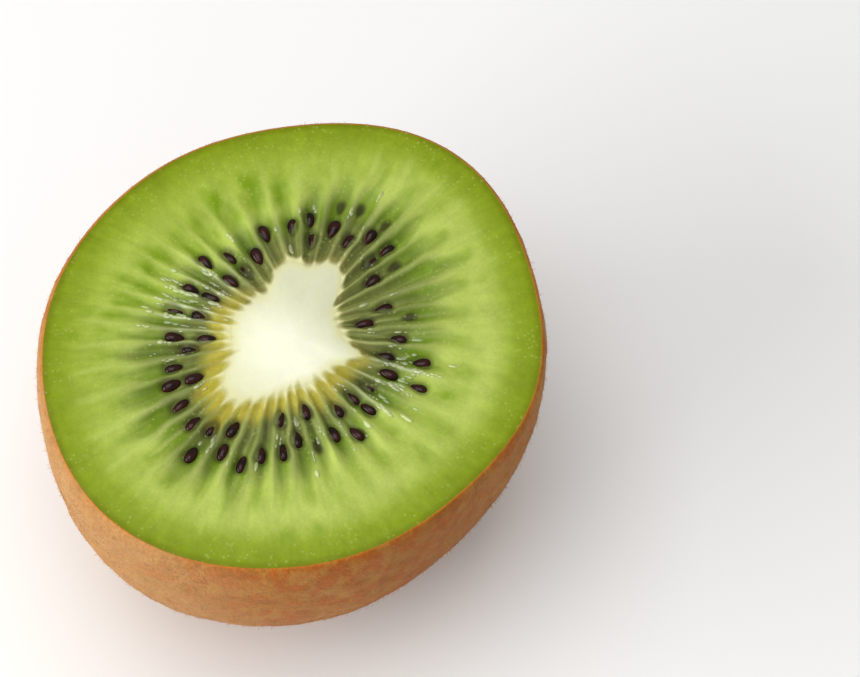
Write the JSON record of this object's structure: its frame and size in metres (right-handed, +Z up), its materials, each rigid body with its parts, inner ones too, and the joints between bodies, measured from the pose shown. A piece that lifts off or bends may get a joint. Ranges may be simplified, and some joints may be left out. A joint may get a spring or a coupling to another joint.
{
  "type": "kiwi fruit half",
  "caption": "Half a kiwi fruit cut across the middle, cut face up, with thin furry skin, green seeded flesh and a pale core.",
  "frame": {"origin": "middle of the small flat spot on the round end, where the half fruit rests", "axes": "+Z up along the fruit's axis towards the cut face, +X along the longer diameter of the cut, +Y along the shorter one"},
  "size_m": [0.0561, 0.0494, 0.0336],
  "materials": {
    "flesh": "moist translucent green fruit flesh, stands in for food",
    "core": "moist cream-white fruit core, stands in for food",
    "skin": "thin brown skin with short fuzz, stands in for food",
    "seed": "small glossy near-black seeds, stands in for food"
  },
  "bodies": {
    "root": {"kiwi_flesh": "flesh", "kiwi_core": "core"}
  },
  "joints": []
}
